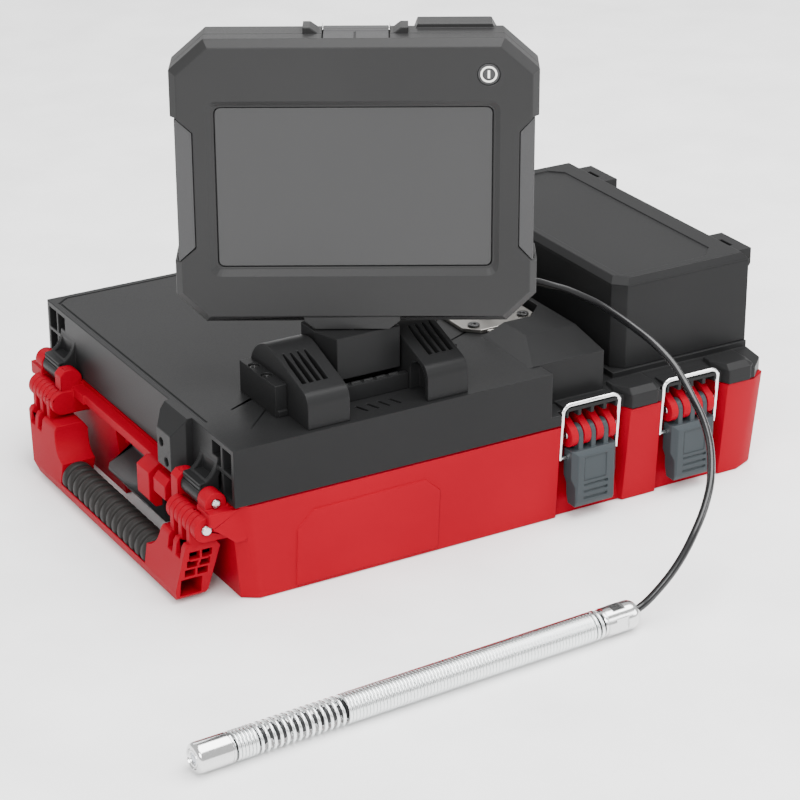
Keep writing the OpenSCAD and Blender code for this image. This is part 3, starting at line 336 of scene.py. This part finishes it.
SLOT_OF = {s["node"]: s["material_slot"] for s in frame["record"]["subparts"]}


# Nodes whose flat faces stay triangulated, because merging them leaves holes in the shading.
TRIANGULATED = {"top_cover", "rear_shell", "lower_case"}
# Nodes made of flat faces, which are shaded flat so that their shallow slopes stay crisp.
FLAT = {"top_cover", "rear_shell", "front_bezel", "battery_door", "tilt_head"}


EDGE_R = 0.5
EDGE_ANGLE = 35


def dress(name):
    """Gives a CAD node its material, and rounds its sharp edges."""
    node = NODES[name]
    data = node.data
    data.materials.clear()
    data.materials.append(MATERIALS[SLOT_OF[name]])
    weld = node.modifiers.new("weld", "WELD")
    weld.merge_threshold = 0.000001
    if name not in TRIANGULATED:
        flat = node.modifiers.new("flat", "DECIMATE")
        flat.decimate_type = "DISSOLVE"
        flat.angle_limit = math.radians(0.3)
    edge = node.modifiers.new("edge", "BEVEL")
    edge.width = EDGE_R * MM
    edge.segments = 2
    edge.limit_method = "ANGLE"
    edge.angle_limit = math.radians(EDGE_ANGLE)
    edge.use_clamp_overlap = False
    edge.harden_normals = False
    if name in FLAT:
        data.shade_flat()
        return
    even = node.modifiers.new("even", "WEIGHTED_NORMAL")
    even.keep_sharp = True
    data.shade_smooth()


for node_name in NODES:
    dress(node_name)


# ---------------------------------------------------------------- probe

def in_probe(verts):
    turn = Matrix.Rotation(PROBE_TURN, 3, "Z")
    return [PROBE_AT + turn @ Vector(v) for v in verts]


def coil_path(start, end, turns, radius, per_turn=28):
    """A helix about X."""
    count = int(turns * per_turn)
    out = []
    for i in range(count + 1):
        t = i / count
        a = math.tau * turns * t
        out.append((start + (end - start) * t, radius * math.cos(a), radius * math.sin(a)))
    return out


def add_springs():
    wire = 1.9
    radius = PROBE_R - wire / 2
    path = coil_path(NOSE_L + wire / 2, CLOSED_L, 6, radius)
    path += coil_path(CLOSED_L, OPEN_L - 1, 14, radius)[1:]
    verts, faces = sweep(path, wire / 2, 10)
    link_mesh("front_coil", in_probe(verts), faces, "spring_steel", "case", ["front_spring"], 60)
    path = coil_path(OPEN_L, REAR_L - 7, 76, radius)
    path += coil_path(REAR_L - 7, REAR_L - 1, 2, radius)[1:]
    verts, faces = sweep(path, 1.0, 10)
    link_mesh("rear_coil", in_probe(verts), faces, "spring_steel", "case", ["rear_spring"], 60)


def add_probe_ends():
    r = PROBE_R
    nose = [
        (NOSE_L, 6.3), (NOSE_L, r - 0.6), (NOSE_L - 0.6, r - 0.1), (NOSE_L - 1.4, r - 0.1),
        (NOSE_L - 1.6, r - 0.5), (NOSE_L - 2.0, r - 0.5), (NOSE_L - 2.2, r),
    ]
    lip = 2.6
    nose += [
        (lip - lip * math.sin(t), r - lip + lip * math.cos(t))
        for t in [math.radians(9 * k) for k in range(11)]
    ]
    nose += [(0.5, 5.3), (0.9, 5.1), (0.9, 4.6), (0.3, 4.3), (0.3, 3.4), (0.9, 3.1)]
    verts, faces = revolve(nose)
    link_mesh("nose_shell", in_probe(verts), faces, "probe_steel", "case", ["probe_nose"], 35)
    verts, faces = revolve([(1.6, 3.2), (0.8, 3.1), (0.65, 2.0), (0.9, 1.9), (0.6, 1.6), (0.45, 0.5)])
    link_mesh("lens", in_probe(verts), faces, "lens_glass", "case", ["lens_window"], 35)

    rear = [
        (REAR_L - 0.5, r - 1), (REAR_L, r - 0.6), (REAR_L + 1, r - 0.6), (REAR_L + 1.3, r),
        (REAR_L + 6, r), (REAR_L + 6.01, r), (REAR_L + 14, r), (REAR_L + 14.01, r),
        (REAR_L + 16.5, r),
    ]
    dome = 6.4
    rear += [(PROBE_L - dome + dome * math.sin(t), r - dome + dome * math.cos(t))
             for t in [math.radians(9 * k) for k in range(0, 9)]]
    rear += [(PROBE_L, 2.6)]
    verts, faces = revolve(rear, 96)
    flat = r * math.cos(math.radians(28))
    for k, (x, y, z) in enumerate(verts):
        if REAR_L + 6.005 < x < REAR_L + 14.005:
            y = max(-flat, min(flat, y))
            z = max(-flat, min(flat, z))
            verts[k] = (x, y, z)
    link_mesh("rear_cap", in_probe(verts), faces, "probe_steel", "case", ["rear_connector"], 30)


def add_bails():
    """Each bail is one bent wire: up one side, over the top and down the other."""
    bend = BAIL_BEND_R
    (y0, z0), (y1, z1) = BAIL_LOW, BAIL_TOP
    for side, sign in (("front", 1), ("rear", -1)):
        for number, x in LATCH_X.items():
            half = BAIL_HALF
            path = [
                (-10, y0, z0), (-half + 1.6, y0, z0), (-half + 0.4, y0, z0 + 0.4),
                (-half, y0, z0 + 1.6),
            ]
            path += [(-half, y1, z1 - bend)]
            path += [(-half + bend - bend * math.cos(t), y1, z1 - bend + bend * math.sin(t))
                     for t in [math.radians(15 * k) for k in range(1, 6)]]
            path += [(-half + bend, y1, z1), (-half / 2, y1, z1), (0, y1, z1)]
            path += [(-a, b, c) for a, b, c in reversed(path[:-1])]
            path = [(x + a, sign * b, c) for a, b, c in path]
            verts, faces = sweep(smooth_path(path, 3), WIRE_R, 14)
            body = f"{side}_bail_{number}"
            link_mesh(f"{body}_wire", verts, faces, "bail_wire", body, [body], 60)


def add_grip():
    """Rubber sleeve with rounded ribs."""
    profile = [(0, 5.9), (0, GRIP_R - 1.6), (0.5, GRIP_R - 1.1)]
    pitch = 7.75
    rib = [
        (0.2, 1.1), (0.5, 0.45), (1.3, 0.08), (2.9, 0), (4.5, 0.08), (5.3, 0.45), (5.6, 1.1),
        (7.5, 1.15),
    ]
    for k in range(15):
        start = 0.7 + pitch * k
        profile += [(start + along, GRIP_R - drop) for along, drop in rib]
    profile = [q for q in profile if q[0] < GRIP_L - 0.6]
    profile += [(GRIP_L - 0.5, GRIP_R - 1.1), (GRIP_L, GRIP_R - 1.6), (GRIP_L, 5.9)]
    verts, faces = revolve(profile)
    turned = [GRIP_AT + Vector((-y, x - GRIP_L / 2, z)) for x, y, z in verts]
    link_mesh("grip_sleeve", turned, faces, "grip_rubber", "handle", ["handle_grip"], 50)


def in_display(verts):
    turn = Matrix.Rotation(DISPLAY_TURN, 3, "Z")
    return [DISPLAY_AT + turn @ Vector(v) for v in verts]


def plate_mesh(outline, y, thick):
    """A thin plate in the display's plane, from an outline in width and height."""
    n = len(outline)
    verts = [(x, y, z) for x, z in outline] + [(x, y + thick, z) for x, z in outline]
    faces = [tuple(range(n)), tuple(reversed(range(n, 2 * n)))]
    faces += [(k, k + n, (k + 1) % n + n, (k + 1) % n) for k in range(n)]
    return verts, faces


def add_button_mark():
    """White ring and bar on the power button."""
    x, z = BUTTON
    front = BUTTON_FACE_Y - MARK_PROUD
    back = BUTTON_FACE_Y + 0.3
    verts, faces = [], []
    sides = 48
    for r, y in ((3.5, back), (3.5, front), (4.5, front), (4.5, back)):
        verts += [
            (x + r * math.cos(math.tau * k / sides), y, z + r * math.sin(math.tau * k / sides))
            for k in range(sides)
        ]
    for i in range(4):
        j = (i + 1) % 4
        for k in range(sides):
            n = (k + 1) % sides
            faces.append((i * sides + k, i * sides + n, j * sides + n, j * sides + k))
    link_mesh("button_ring", in_display(verts), faces, "led_white", "power_button")
    bar = [(x - 0.6, z - 2.2), (x + 0.6, z - 2.2), (x + 0.6, z + 2.2), (x - 0.6, z + 2.2)]
    verts, faces = plate_mesh(bar, front, 0.4)
    link_mesh("button_bar", in_display(verts), faces, "led_white", "power_button")


def add_push_cable():
    path = smooth_path(CABLE_ROUTE, 6)
    verts, faces = sweep(path, CABLE_D / 2, 20)
    piece = link_mesh("cable", verts, faces, "cable_jacket", None, ["push_cable"], 60)
    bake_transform(piece)


add_camera()
add_studio()
add_springs()
add_probe_ends()
add_bails()
add_grip()
add_button_mark()
add_push_cable()
